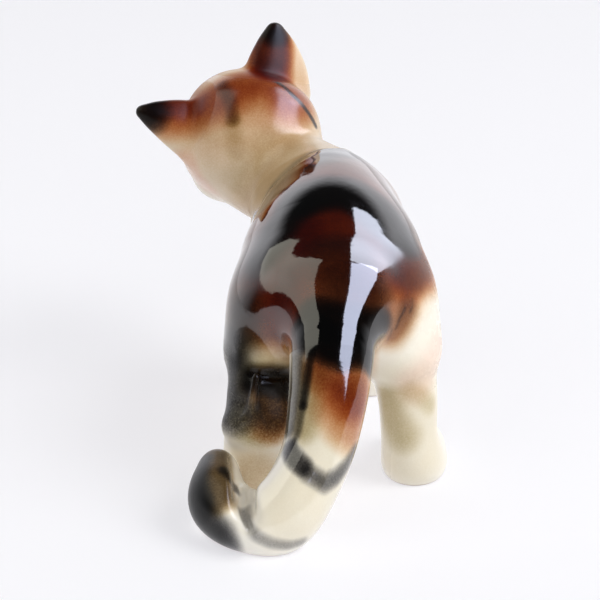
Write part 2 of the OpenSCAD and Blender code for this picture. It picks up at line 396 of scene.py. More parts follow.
def skin():
    """The figure's surface: points in spine mm, and triangles split along the shorter diagonal."""
    band = 2.0
    grid = openvdb.FloatGrid(band)
    grid.copyFromArray(np.clip(field, -band, band))
    points, quads = grid.convertToQuads(isovalue=0.0)
    points = points.astype(float) * VOXEL + LOW
    quads = quads.astype(np.int64)
    on_table = points[:, 2] < SOLE
    points = relax(points, quads, 3, np.where(on_table, 0.0, 1.0))
    first = np.linalg.norm(points[quads[:, 0]] - points[quads[:, 2]], axis=1)
    second = np.linalg.norm(points[quads[:, 1]] - points[quads[:, 3]], axis=1)
    shorter = (first < second)[:, None]
    tris = np.vstack([np.where(shorter, quads[:, [0, 1, 2]], quads[:, [0, 1, 3]]),
                      np.where(shorter, quads[:, [0, 2, 3]], quads[:, [1, 2, 3]])])
    return points, tris


# ---------------------------------------------------------------- cutting into the cast pieces
def cut(data, tris, value, where):
    """Splits the triangles in `where` that a level line value = 0 crosses, so that it runs along edges."""
    nearly = 1e-4                                     # mm, no level line runs exactly through a point
    value = np.where(np.abs(value) < nearly, nearly, value)
    side = value > 0
    total = len(data)

    def crossed(t):
        return side[t] != side[np.roll(t, -1, axis=1)]

    def key(a, b):
        return np.minimum(a, b) * total + np.maximum(a, b)

    todo = where & crossed(tris).any(1)
    split = np.unique(key(tris, np.roll(tris, -1, axis=1))[todo][crossed(tris)[todo]])
    hit = np.isin(key(tris, np.roll(tris, -1, axis=1)), split)
    low, high = split // total, split % total
    t = (value[low] / (value[low] - value[high]))[:, None]
    fresh = data[low] * (1 - t) + data[high] * t

    def on(a, b):
        return total + np.searchsorted(split, key(a, b))

    both_hit, one_hit = hit.sum(1) == 2, hit.sum(1) == 1
    rows = np.arange(len(tris))
    first = np.where(both_hit, (np.argmin(hit, axis=1) + 2) % 3, np.argmax(hit, axis=1))
    a, b, c = (tris[rows, (first + k) % 3] for k in range(3))
    one = [v[one_hit] for v in (a, b, c)]
    two = [v[both_hit] for v in (a, b, c)]
    middle = on(one[0], one[1])
    ab, ac = on(two[0], two[1]), on(two[0], two[2])
    return np.vstack([data, fresh]), np.vstack([
        tris[~hit.any(1)],
        np.stack([one[0], middle, one[2]], 1), np.stack([middle, one[1], one[2]], 1),
        np.stack([two[0], ab, ac], 1), np.stack([ab, two[1], two[2]], 1), np.stack([ab, two[2], ac], 1)])


def above_plane(points, point, normal):
    """How far points lie on the normal's side of a plane."""
    return (points - np.asarray(point)) @ np.asarray(normal)


NECK_JOINT, NECK_SLOPE, NECK_LEAN = np.array([6.5, -28, 48]), math.radians(48), math.radians(22)
NECK_NORMAL = turn_y(NECK_LEAN) @ np.array([0, -math.sin(NECK_SLOPE), math.cos(NECK_SLOPE)])
EAR_LINE = 2.0                                        # mm above the ear's root
EAR_CUT, EAR_SIZE = 14, 18                            # mm round the root: reach of the cut, and of the ear
HIP_LEFT_Z, HIP_RIGHT_Z, SHOULDER_Z = 25.0, 22.0, 23.0
TAIL_JOINT = np.array([0, 40.5, 36])
TAIL_NORMAL = np.array([0, 0.65, -0.76])


def in_block(p, name):
    """Whether points are in the part of space that holds one hind leg, or both forelegs."""
    if name == "hind_leg_left":
        return (p[:, 0] > 4.5) & (p[:, 1] > 5)
    if name == "hind_leg_right":
        return (p[:, 0] < -4.5) & (p[:, 1] > 5)
    return p[:, 1] < -8


def tail_lead(p):
    """Below zero where the tail is nearer than the rest of the figure."""
    return read_field(tail_alone, p) - read_field(rest_of_figure, p)


def pieces_of(points, tris):
    """The skin cut along the joints of the castings, and the name of each triangle's piece."""
    data = np.hstack([points, corner_normals(points, tris)])

    def middle():
        return data[tris][:, :, :3].mean(1)

    m = middle()
    data, tris = cut(data, tris, tail_lead(data[:, :3]), above_plane(m, TAIL_JOINT, TAIL_NORMAL) > -1)
    m = middle()
    data, tris = cut(data, tris, above_plane(data[:, :3], TAIL_JOINT, TAIL_NORMAL), tail_lead(m) < 0)
    data, tris = cut(data, tris, above_plane(data[:, :3], NECK_JOINT, NECK_NORMAL), np.ones(len(tris), bool))
    for side in (1, -1):
        turn, root = ear_axes(side)
        height = above_plane(data[:, :3], root, turn[:, 2]) - EAR_LINE
        data, tris = cut(data, tris, height, np.linalg.norm(middle() - root, axis=1) < EAR_CUT)
    levels = {"hind_leg_left": HIP_LEFT_Z, "hind_leg_right": HIP_RIGHT_Z, "fore": SHOULDER_Z}
    for name, level in levels.items():
        m = middle()
        data, tris = cut(data, tris, data[:, 2] - level, in_block(m, name) & (tail_lead(m) > 0))
    m = middle()
    label = np.full(len(tris), "body", dtype="U16")
    tail = (tail_lead(m) < 0) & (above_plane(m, TAIL_JOINT, TAIL_NORMAL) > 0)
    label[above_plane(m, NECK_JOINT, NECK_NORMAL) > 0] = "head"
    for side, name in ((1, "ear_left"), (-1, "ear_right")):
        turn, root = ear_axes(side)
        high = above_plane(m, root, turn[:, 2]) > EAR_LINE
        label[high & (np.linalg.norm(m - root, axis=1) < EAR_SIZE) & (label == "head")] = name
    body = (label == "body") & ~tail
    low = {name: body & in_block(m, name) & (m[:, 2] < level) for name, level in levels.items()}
    label[low["fore"] & (m[:, 0] > 0)] = "foreleg_left"
    label[low["fore"] & (m[:, 0] < 0)] = "foreleg_right"
    label[low["hind_leg_left"]] = "hind_leg_left"
    label[low["hind_leg_right"]] = "hind_leg_right"
    label[tail] = "tail"
    return data, tris, label


def rims(tris):
    """The open edges of a surface, as closed loops of points in the direction that a cap needs."""
    edges = np.vstack([tris[:, [0, 1]], tris[:, [1, 2]], tris[:, [2, 0]]])
    known = set(map(tuple, edges.tolist()))
    after = {b: a for a, b in known if (b, a) not in known}
    loops = []
    while after:
        start, step = next(iter(after.items()))
        loop = [start]
        del after[start]
        while step != start and step in after:
            loop.append(step)
            step = after.pop(step)
        loops.append(loop)
    return loops


def make_piece(node_name, data, tris):
    """One closed piece: its share of the skin, and a fan that caps each rim. Also returns its points."""
    used, local = np.unique(tris, return_inverse=True)
    local = local.reshape(-1, 3)
    data = data[used]
    caps, hubs = [], []
    for loop in rims(local):
        hub = len(data) + len(hubs)
        hubs.append(data[loop, :3].mean(0))
        caps += [(a, b, hub) for a, b in zip(loop, loop[1:] + loop[:1])]
    points = np.vstack([data[:, :3]] + [hub[None] for hub in hubs])
    faces = np.vstack([local, np.array(caps, np.int64).reshape(-1, 3)])
    mesh = bpy.data.meshes.new("kitten_" + node_name)
    mesh.vertices.add(len(points))
    mesh.vertices.foreach_set("co", to_frame(points).astype(np.float32).ravel())
    mesh.loops.add(3 * len(faces))
    mesh.loops.foreach_set("vertex_index", faces.astype(np.int32).ravel())
    mesh.polygons.add(len(faces))
    mesh.polygons.foreach_set("loop_start", np.arange(0, 3 * len(faces), 3, dtype=np.int32))
    mesh.update(calc_edges=True)
    mesh.validate()
    mesh.shade_smooth()
    normal = np.zeros((len(faces), 3, 3))
    normal[:len(local)] = data[local][:, :, 3:6]
    a, b, c = (points[faces[len(local):, k]] for k in range(3))
    flat = np.cross(b - a, c - a)
    flat /= np.maximum(np.linalg.norm(flat, axis=1), 1e-12)[:, None]
    normal[len(local):] = flat[:, None]
    mesh.normals_split_custom_set(normal.reshape(-1, 3).tolist())
    piece = bpy.data.objects.new("kitten_" + node_name, mesh)
    bpy.context.collection.objects.link(piece)
    return piece, points


points, tris = skin()
data, tris, label = pieces_of(points, tris)

# ---------------------------------------------------------------- sprayed colours, and painted shade and reflections
# Each stroke: pigment, strength, core radius and feather in mm, pieces, points of the airbrush's path. A few
# strokes are painted shade and painted reflections; each is marked where it stands.
BACK = ("body", "hind_leg_left", "hind_leg_right")
LEFT_LEG = ("hind_leg_left", "body")
RIGHT_LEG = ("hind_leg_right", "body")
TAIL_ON = ("tail",)
RUMP = ("body", "tail")
FACE = ("head", "ear_left", "ear_right")
RUST, BLACK, SMOKE, PINK = range(4)


def placed(axes, path):
    """Points of a path in some axes, as points about the spine."""
    return [tuple(axes[0] @ np.array(point) + axes[1]) for point in path]


CROWN_LINE = [(20.6, -42.1, 72.9), (19.4, -40.6, 73), (15.9, -39.1, 72.6), (12.4, -36.8, 71.6),
              (8.6, -33.9, 69.3), (5.6, -33.1, 66.2), (3.3, -33.2, 62.2)]
STROKES = [
    # back and flanks
    (RUST, 0.8, 11, 13, BACK, [(0, -16, 50), (0, 0, 48), (0, 12, 46), (0, 20, 43)]),
    (RUST, 0.8, 8, 12, BACK, [(0, 12, 56), (0, 24, 54), (2, 33, 49)]),
    (BLACK, 0.2, 9, 10, BACK, [(2, -20, 56), (0, 0, 56), (0, 12, 52), (2, 30, 46)]),
    (BLACK, 0.1, 9, 10, BACK, [(0, 16, 52), (2, 30, 46)]),
    (RUST, 0.6, 4, 8, BACK, [(10, 23, 53), (13, 31, 49), (13, 35, 43)]),
    (BLACK, 0.9, 0.6, 6, BACK, [(14.5, 24, 51), (12.4, 20.5, 54.4), (10, 17, 57), (7.6, 13.5, 59)]),
    (BLACK, 1.6, 2.0, 7.0, BACK, [(5.6, 11.7, 59.8), (0.6, 10.5, 61), (-3.3, 10.7, 60.6),
                                  (-6.9, 12.3, 59.4), (-10.1, 14.5, 57.7), (-13.6, 17.5, 55)]),
    (RUST, 0.65, 3, 6, BACK, [(-15, 27, 49), (-18, 23, 49.5), (-20, 19, 47.5)]),
    (BLACK, 0.3, 3, 5, BACK, [(-15, 26, 49.5), (-18, 20, 50)]),
    (BLACK, 0.45, 4, 6, BACK, [(-1, 31, 52), (-4, 36, 48)]),
    (BLACK, 0.35, 3, 7, BACK, [(14.5, 20, 53), (17, 23, 50), (19.5, 26, 46)]),
    (BLACK, 0.2, 3, 7, BACK, [(19.5, 26, 46), (21, 27.7, 41), (21.5, 29, 36)]),
    (BLACK, 0.12, 3, 9, BACK, [(8, -8, 60), (0, -9, 61), (-8, -6, 60)]),
    (BLACK, 0.25, 4, 9, BACK, [(17, 14, 50), (19, 6, 46), (18, -2, 46), (17, -9, 45)]),
    (BLACK, 0.5, 3, 8, BACK, [(-16, 6, 52), (-16, -4, 50)]),
    (RUST, 0.5, 5, 9, BACK, [(18, 18, 44), (19, 6, 43), (18, -2, 43), (17, -9, 42)]),
    (BLACK, 0.28, 3.5, 6, BACK, [(21.5, 28, 37), (22, 30, 31), (21.4, 34, 25)]),
    (BLACK, 0.5, 2, 6, BACK, [(18.6, 30.8, 39.8), (19.6, 31, 35)]),
    # tail root and tail
    (BLACK, 1.6, 1.6, 4.5, RUMP, [(3.7, 42, 44.8), (-1.2, 43.3, 44.1), (-6.6, 41.6, 42), (-9.1, 38.7, 40.8)]),
    (BLACK, 1.9, 1.4, 4.2, RUMP, [(4.5, 44, 42.1), (0.9, 46.1, 40.7), (-1.6, 46.5, 39.7),
                                  (-4.1, 45.4, 39.7), (-7.5, 43, 38)]),
    # Along the tail's left edge, where it passes the left haunch: the black is painted shade in the slot
    # between them, and the grey on the tail is a painted reflection.
    (BLACK, 0.6, 1.3, 1.9, RUMP, [(7.6, 41.5, 41.6), (7.5, 43.4, 38), (7.7, 44.9, 35.6), (8, 46.4, 32.6),
                                  (8.5, 48.3, 28.4), (9.2, 49.8, 24)]),
    (SMOKE, 0.3, 1.3, 1.9, TAIL_ON, [(7.7, 44.9, 35.6), (8, 46.4, 32.6), (8.5, 48.3, 28.4),
                                     (9.2, 49.8, 24)]),
    (BLACK, 1.0, 0.1, 1.5, RUMP, [(3.9, 43.4, 43), (4.5, 45.2, 40.2), (5, 46.7, 37.5), (5.6, 48.5, 33.8),
                                  (6.4, 50.6, 29.2)]),
    (BLACK, 0.5, 0.1, 1.3, TAIL_ON, [(6.4, 50.6, 29.2), (7.4, 52.6, 24.5), (8.6, 53.6, 21)]),
    (BLACK, 0.8, 0.8, 3, TAIL_ON, [(-8.4, 41, 38), (-8, 43, 34.5)]),
    (RUST, 0.74, 2.6, 5.6, TAIL_ON, [(0.6, 48.2, 36.5), (-1, 48.5, 36.5), (-3, 49.3, 34),
                                     (-4.6, 49.8, 31.2)]),
    (BLACK, 0.14, 1.8, 5.0, TAIL_ON, [(-1, 48.5, 36.5), (-3, 49.3, 34)]),
    (RUST, 0.45, 2.2, 6, TAIL_ON, [(-1.5, 52, 29.5), (-3, 52.4, 27), (-4.6, 51.4, 25)]),
    # The grey-olive strip down the left of the tail is a painted reflection.
    (SMOKE, 0.5, 1, 4, TAIL_ON, [(4.5, 48.6, 35), (5.6, 51, 30), (6.6, 53, 25.5)]),
    (SMOKE, 0.1, 4, 6, TAIL_ON, [(2, 54, 25), (0, 57, 18), (8, 61, 10)]),
    (BLACK, 1.0, 0.7, 2.2, TAIL_ON, [(9.6, 53.6, 21), (7.8, 56.4, 19.5), (6.6, 57.4, 18.8)]),
    (BLACK, 0.66, 0.2, 2.7, TAIL_ON, [(5.2, 58.3, 17.4), (1.9, 58.3, 15.2), (-0.7, 56.2, 15.7),
                                      (-2.7, 53.7, 17.0), (-4.2, 51.2, 18.8)]),
    (BLACK, 0.33, 0.2, 2.0, TAIL_ON, [(18.4, 56.6, 8.4), (17.1, 61.1, 7.2), (15.5, 63.8, 5.9),
                                      (12.7, 63.8, 4.4), (9, 62.6, 3.3), (6.6, 61.4, 3.2)]),
    (BLACK, 1.4, 1.6, 5.2, TAIL_ON, [(29, 43, 8.5), (30, 49.5, 8), (28.6, 53.9, 6.6), (26.3, 57.1, 4.6),
                                     (23.8, 59.5, 3.2)]),
    (SMOKE, 0.8, 2.2, 3.6, TAIL_ON, [(25.4, 43, 14.1), (24.8, 51.6, 13.2), (24.2, 55.7, 11.3)]),
    (RUST, 0.12, 2.2, 4, TAIL_ON, [(25.4, 43, 14.1), (24.6, 51.6, 13.2), (23.6, 55.7, 11.3)]),
    (BLACK, 0.4, 2.2, 4, TAIL_ON, [(25.6, 42, 13.8), (25, 52, 13), (24.4, 55, 11.6)]),
    (BLACK, 1.0, 1.4, 3.6, TAIL_ON, [(28.8, 44, 12.2), (29, 50, 11.2), (27.6, 54.6, 8.6)]),
    # The dark mark on the inside of the tail's tip is painted shade in the crease between the tip and the
    # left hind leg.
    (BLACK, 0.8, 0.4, 1.8, TAIL_ON, [(22.5, 49.4, 13.9), (21.4, 51.2, 12.6), (20, 50.6, 10.4)]),
    # left hind leg
    (BLACK, 0.7, 3.0, 4, LEFT_LEG, [(21, 35, 28), (21.4, 36, 24.6), (20.7, 38, 22.4)]),
    # The black along the fold under the left haunch is painted shade in that crease.
    (BLACK, 1.1, 1.2, 3.4, LEFT_LEG, [(16.5, 37.4, 29), (13, 36.5, 28.4), (10, 36, 27.4)]),
    (BLACK, 0.45, 2.0, 4, LEFT_LEG, [(12.2, 37, 27), (11.2, 37.8, 24.4), (13.3, 38.1, 22)]),
    (SMOKE, 0.6, 2.8, 4.5, LEFT_LEG, [(15, 37.5, 28), (12, 38, 24), (12.5, 39, 21.5), (16, 40, 20.5)]),
    (SMOKE, 0.16, 2.5, 5, ("hind_leg_left",), [(16.5, 39.6, 8), (14, 39.4, 6)]),
    (RUST, 0.07, 2.5, 6, ("hind_leg_left",), [(16.5, 39.6, 8), (14, 39.4, 6)]),
    (RUST, 0.38, 2, 4.5, LEFT_LEG, [(14, 37.5, 27), (12, 38, 22.5), (13, 39.5, 20)]),
    (SMOKE, 0.5, 3, 3, ("body",), [(9.5, 35.5, 34.5), (16, 35, 33)]),
    # right haunch and leg
    (BLACK, 0.28, 1.0, 3.5, RIGHT_LEG, [(-15.6, 31.7, 42), (-14.6, 32.6, 40), (-13.6, 32.9, 37.4)]),
    # These three thin dark lines stand in for incised hair strokes, which are not cut: they paint the shade
    # in the grooves together with the glaze that pools there.
    (BLACK, 0.35, 0.0, 0.6, RIGHT_LEG, [(-15, 32.2, 43), (-13.9, 33.3, 41.3), (-13.1, 33.7, 39.1)]),
    (BLACK, 0.35, 0.0, 0.6, RIGHT_LEG, [(-16.8, 30.2, 44.4), (-17, 30.6, 43), (-16.1, 31.3, 41.8)]),
    (BLACK, 0.3, 0.0, 0.6, RIGHT_LEG, [(-12.2, 34.3, 39), (-11.4, 33.9, 36.5)]),
    # The grey-olive on the right shin is painted shade: on its inner side, in the crease on its outer side,
    # and down the leg.
    (SMOKE, 0.33, 0.8, 5.2, RIGHT_LEG, [(-11.9, 28.5, 20), (-12.6, 29.3, 16.5), (-14.9, 30.4, 12.6)]),
    (SMOKE, 0.25, 0.3, 3.2, RIGHT_LEG, [(-16.6, 29.9, 23), (-19.2, 29.3, 21.1), (-20.9, 28.4, 19.1)]),
    (SMOKE, 0.12, 4, 8, RIGHT_LEG, [(-15, 29, 22), (-16, 28, 16), (-17, 29, 8)]),
    (PINK, 0.35, 2, 5, RIGHT_LEG, [(-18, 30, 25), (-22, 25, 30)]),
    # head
    (SMOKE, 0.11, 12, 10, FACE, [(19, -42, 56), (22, -38, 60)]),
    (RUST, 0.08, 14, 8, FACE, [(19, -42, 58), (22, -34, 58)]),
    (RUST, 0.09, 5, 8, FACE, [(27, -31, 64), (20, -30, 65), (13, -31, 65)]),
    (SMOKE, 0.22, 2, 6, ("head",), [(20, -24, 50), (12, -24, 60)]),
    (SMOKE, 0.06, 6, 9, FACE, [(22, -28, 60), (20, -28, 51)]),
    (RUST, 0.8, 1.4, 8, FACE, [(38, -34, 66), (31, -34, 67), (26.5, -33, 69), (21, -35, 71.5), (15, -37, 72),
                               (9, -34, 68.5)]),
    (RUST, 0.5, 0.8, 4.0, FACE, [(39, -34, 67), (32, -34.5, 67.5)]),
    (RUST, 0.18, 2, 6, FACE, [(22, -31, 69), (14, -31, 67)]),
    (SMOKE, 0.9, 0.2, 2.4, FACE, [(25.2, -36, 71.3), (23.2, -31.2, 69), (22.4, -27.8, 65.4)]),
    (SMOKE, 0.25, 0.2, 3.2, FACE, [(22.4, -27.5, 65), (22, -26, 61), (22, -25.4, 58.6)]),
    (BLACK, 0.9, 0.1, 0.85, ("head",), CROWN_LINE),
    (BLACK, 1.4, 1.6, 6, FACE, [(46, -33, 65.5), (43, -33.5, 66)]),
    (BLACK, 1.3, 1.2, 3.8, FACE, [(13, -50, 82), (13.1, -49.5, 80.2)]),
    (RUST, 1.3, 2.6, 4.5, FACE, [(14, -48, 78), (14, -45, 75), (14, -42, 71)]),
    (BLACK, 0.42, 2.0, 4.0, FACE, [(14, -47.5, 78), (14, -45, 75)]),
    (BLACK, 0.14, 1.0, 4.0, FACE, [(40, -34, 66.5), (34, -34.5, 67)]),
    (RUST, 0.14, 3, 5, FACE, [(7, -46, 77), (6, -44, 70)]),
    (PINK, 0.5, 2, 4, FACE, [(33, -34, 53), (30, -35, 47)]),
    # the unseen front
    (RUST, 0.5, 2, 7, FACE, placed(HEAD, [(-7, -5, 12.5), (7, -5, 12.5)])),
    (BLACK, 0.5, 0.1, 1.2, ("head",), placed(HEAD, [(0, -13, 8.5), (0, -9.5, 12)])),
    (RUST, 1.2, 1.0, 0.9, ("head",), placed(HEAD, [(0.7, -18.6, -3.1), (-0.7, -18.6, -3.1)])),
    (BLACK, 0.5, 0.1, 0.6, ("head",), placed(HEAD, [(0, -18.6, -4.5), (0, -18.4, -6.4), (0, -17.9, -7.5)])),
    (RUST, 0.7, 2, 7, ("body", "foreleg_left"), [(15, -22, 30), (14, -23, 20)]),
    (SMOKE, 0.35, 0.6, 3, ("foreleg_left",), [(14, -26, 12), (6, -26, 12)]),
    (SMOKE, 0.35, 0.6, 3, ("foreleg_right",), [(-5, -24, 12), (-14, -24, 12)]),
    (RUST, 0.5, 3, 8, ("body",), [(-17, -18, 44), (-14, -22, 32)]),
]
for s in (1, -1):
    iris = placed(HEAD, [(s * 6, -15, 1.9), (s * 6, -15, 1.3)])
    pupil = placed(HEAD, [(s * 5.6, -15.3, 2.3), (s * 5.6, -15.3, 0.9)])
    lid = placed(HEAD, [(s * 2.9, -15.2, 0.9), (s * 3.9, -15.4, 3.4), (s * 6.2, -15, 4.5),
                        (s * 8.7, -13.6, 3.4), (s * 9.6, -12.6, 1.6)])
    mouth = placed(HEAD, [(0, -17.7, -7.9), (s * 2.6, -17.1, -8.6), (s * 4.6, -15.4, -8)])
    brow = placed(HEAD, [(s * 3.4, -12.5, 8.5), (s * 4.6, -9.5, 11.6)])
    cheek = placed(HEAD, [(s * 9, -13, -4), (s * 10, -12, -5)])
    STROKES += [
        (SMOKE, 0.9, 2.3, 0.6, ("head",), iris),
        (RUST, 0.3, 2.3, 0.6, ("head",), iris),
        (BLACK, 2.4, 0.7, 0.5, ("head",), pupil),
        (BLACK, 1.5, 0.2, 0.7, ("head",), lid),
        (BLACK, 0.4, 0.1, 0.6, ("head",), mouth),
        (BLACK, 0.5, 0.1, 1.2, ("head",), brow),
        (PINK, 0.8, 2, 3, FACE, placed(ear_axes(s), [(-0.6, -2.5, 2), (-0.8, -2, 8)])),
        (PINK, 0.35, 1, 4, ("head",), cheek),
    ]


def path_distance(points, path):
    """The distance from each point to the nearest point of a path, in mm."""
    path = np.array(path, float)
    best = np.full(len(points), 1e9)
    for a, b in zip(path[:-1], path[1:]):
        t = np.clip((points - a) @ (b - a) / ((b - a) @ (b - a)), 0, 1)
        best = np.minimum(best, np.linalg.norm(points - a - t[:, None] * (b - a), axis=1))
    return best


def sprayed_and_shaded(name, points):
    """The density of each pigment at each point of a piece, painted shade and reflections included."""
    x, _, z = points.T
    density = np.zeros((len(points), 4))
    for pigment, strength, core, feather, pieces, path in STROKES:
        if name in pieces:
            reached = ramp(path_distance(points, path), core + feather, core)
            density[:, pigment] += strength * smoothstep(reached)
    if name == "body":
        # a cream patch lies on the left haunch, and the dark glaze ends at the collar
        patch = path_distance(points, [(9.5, 35.5, 34.5), (13, 35.3, 34), (16, 35, 33)])
        density[:, :3] *= (0.52 + 0.48 * ramp(patch, 0.8, 4.2))[:, None]
        front = collar(points)
        keep = ramp(front, STEP_WIDTH / 2, -STEP_WIDTH / 2)
        density[:, :3] *= keep[:, None]
        # in front of it the neck is tan, at it the glaze is darkest, and behind it the nape is black
        back_of_neck = (1 - keep) * ramp(z + 0.5 * x, 44, 52)
        density[:, SMOKE] += 0.4 * back_of_neck
        density[:, RUST] += 0.13 * back_of_neck
        edge = np.exp(-((front + 0.5) / 0.45) ** 2) * (z > 38)
        density[:, BLACK] += 1.4 * edge
        nape = np.exp(-((front + 2) / 2.2) ** 2) * ramp(z, 51, 55)
        density[:, BLACK] += 1.2 * nape
        density[:, RUST] *= 1 - 0.7 * nape
    if name == "head":
        # the tan deepens towards the collar
        near = ramp(collar(points), 12, 2)
        density[:, SMOKE] += 0.25 * near
        density[:, RUST] += 0.1 * near
    if name in ("hind_leg_right", "body"):
        # the brown of the right haunch ends along a slanting line
        pale = ramp(x, -7, -10) * smoothstep(ramp(z + 0.35 * (x + 13), 44, 34))
        density[:, RUST] *= 1 - 0.95 * pale
        density[:, BLACK] *= 1 - 0.9 * pale
    if name == "body":
        # and a brown smudge crosses that line
        smudge = path_distance(points, [(-15.6, 31.7, 42), (-14, 33, 38.6), (-12.8, 33.8, 37)])
        smudge = ramp(smudge, 6, 1) ** 2
        density[:, RUST] += 0.38 * smudge
        density[:, SMOKE] += 0.15 * smudge
    return np.clip(density, 0, 3)


def dullness(name, points):
    """Where the glaze is thin, and so less glossy: 0 to 1 at each point of a piece."""
    x, y, z = points.T
    if name in ("ear_left", "ear_right"):
        return np.full(len(points), 1.0)
    if name == "head":
        return np.full(len(points), 0.5)
    if name == "tail":
        return 0.9 * ramp(x, 17, 23)
    if name in ("foreleg_left", "foreleg_right"):
        return np.full(len(points), 0.3)
    # the pale right flank and the left hock, in the rear half, and the neck in front of the collar
    flank = ramp(x, -9, -14) * ramp(z, 55, 49)
    hock = ramp(x, 6, 8) * ramp(z, 34, 31)
    dull = 0.85 * np.maximum(flank, hock) * ramp(y, 3, 7)
    if name == "body":
        dull = np.maximum(dull, 0.92 * ramp(collar(points), 0, 0.6))
    return dull


# ---------------------------------------------------------------- glaze
# What a full layer of each pigment takes from red, green and blue light.
TAKES = {"rust": (1.3, 2.9, 4.4), "black": (3.0, 3.0, 2.9), "smoke": (1.15, 1.42, 2.2),
         "pink": (0.05, 0.45, 0.5)}
BISCUIT = (0.30, 0.17, 0.11, 1)                       # the unglazed clay of the soles
FINE, MIDDLE, BROAD = 2600, 420, 90                   # noise scales: the grain, the mottle, the clouds
FLOW = (0.02, 0.08, 0.16)                             # how much the clouds tint red, green and blue
# Sockets of Blender's mix node, which has the same names for values and for colours.
MIX_FACTOR, MIX_VALUES, MIX_COLOURS, MIXED_COLOUR = 0, (2, 3), (6, 7), 2


def glaze(name, ground, roughness, coat, speckle):
    """A clear glaze over sprayed layers of pigment on a pale ground. It is thin where a piece is dull."""
    mat = bpy.data.materials.new(name)
    mat.use_nodes = True
    tree = mat.node_tree
    tree.nodes.clear()
    nodes, link = tree.nodes, tree.links.new

    def node(kind, **values):
        n = nodes.new(kind)
        for key, value in values.items():
            setattr(n, key, value)
        return n

    def maths(op, a, b=None, c=None):
        n = node("ShaderNodeMath", operation=op)
        for socket, value in zip(n.inputs, (a, b, c)):
            if value is None:
                continue
            if isinstance(value, (int, float)):
                socket.default_value = value
            else:
                link(value, socket)
        return n.outputs[0]

    def noise(scale, detail, rough):
        n = node("ShaderNodeTexNoise")
        link(place.outputs["Object"], n.inputs["Vector"])
        n.inputs["Scale"].default_value = scale
        n.inputs["Detail"].default_value = detail
        n.inputs["Roughness"].default_value = rough
        return n.outputs["Fac"]

    place = node("ShaderNodeTexCoord")
    spray_and_shade = node("ShaderNodeAttribute", attribute_name="spray_and_shade")
    bare = node("ShaderNodeAttribute", attribute_name="bare").outputs["Fac"]
    dull = node("ShaderNodeAttribute", attribute_name="dull").outputs["Fac"]
    parts = node("ShaderNodeSeparateColor")
    link(spray_and_shade.outputs["Color"], parts.inputs[0])
    fine = noise(FINE, 2.0, 0.6)
    mid = noise(MIDDLE, 3.0, 0.6)
    soft = noise(BROAD, 3.0, 0.55)
    grain = maths("ADD", maths("MULTIPLY", maths("SUBTRACT", fine, 0.5), speckle),
                  maths("MULTIPLY", maths("SUBTRACT", mid, 0.5), 0.35 * speckle))
    cloud = maths("MULTIPLY_ADD", maths("SUBTRACT", soft, 0.5), 0.5, 1.0)

    def layer(density):
        # the grain of the spray shows where a layer is thin, and not where there is none
        thin = maths("MULTIPLY", maths("MINIMUM", density, 1.0), 1.6)
        grainy = maths("ADD", density, maths("MULTIPLY", thin, grain))
        return maths("MAXIMUM", maths("MULTIPLY", grainy, cloud), 0.0)

    layers = {"rust": layer(parts.outputs[0]), "black": layer(parts.outputs[1]),
              "smoke": layer(parts.outputs[2]), "pink": layer(spray_and_shade.outputs["Alpha"])}
    channels = []
    for k in range(3):
        dark = None
        for pigment, amount in layers.items():
            part = maths("MULTIPLY", amount, -TAKES[pigment][k])
            dark = part if dark is None else maths("ADD", dark, part)
        warm = maths("MULTIPLY_ADD", maths("SUBTRACT", soft, 0.5), FLOW[k], ground[k])
        channels.append(maths("MULTIPLY", warm, maths("EXPONENT", dark)))
    colour = node("ShaderNodeCombineColor")
    for k in range(3):
        link(channels[k], colour.inputs[k])
    biscuit = node("ShaderNodeMix", data_type="RGBA")
    link(bare, biscuit.inputs[MIX_FACTOR])
    link(colour.outputs[0], biscuit.inputs[MIX_COLOURS[0]])
    biscuit.inputs[MIX_COLOURS[1]].default_value = BISCUIT
    shader = node("ShaderNodeBsdfPrincipled")
    link(biscuit.outputs[MIXED_COLOUR], shader.inputs["Base Color"])
    rough = maths("ADD", maths("MULTIPLY_ADD", mid, 0.06, roughness - 0.03), maths("MULTIPLY", bare, 0.6))
    link(maths("MULTIPLY_ADD", dull, 0.24, rough), shader.inputs["Roughness"])
    shader.inputs["IOR"].default_value = 1.6
    link(maths("MULTIPLY_ADD", dull, -0.38, 0.5), shader.inputs["Specular IOR Level"])
    link(maths("MULTIPLY_ADD", dull, -coat, coat), shader.inputs["Coat Weight"])
    link(maths("MULTIPLY_ADD", dull, 0.3, 0.03), shader.inputs["Coat Roughness"])
    bump = node("ShaderNodeBump")
    bump.inputs["Strength"].default_value = 0.25
    bump.inputs["Distance"].default_value = 0.0006
    link(maths("ADD", maths("MULTIPLY", soft, 0.8), maths("MULTIPLY", mid, 0.12)), bump.inputs["Height"])
    link(bump.outputs[0], shader.inputs["Normal"])
    out = node("ShaderNodeOutputMaterial")
    link(shader.outputs[0], out.inputs[0])
    return mat


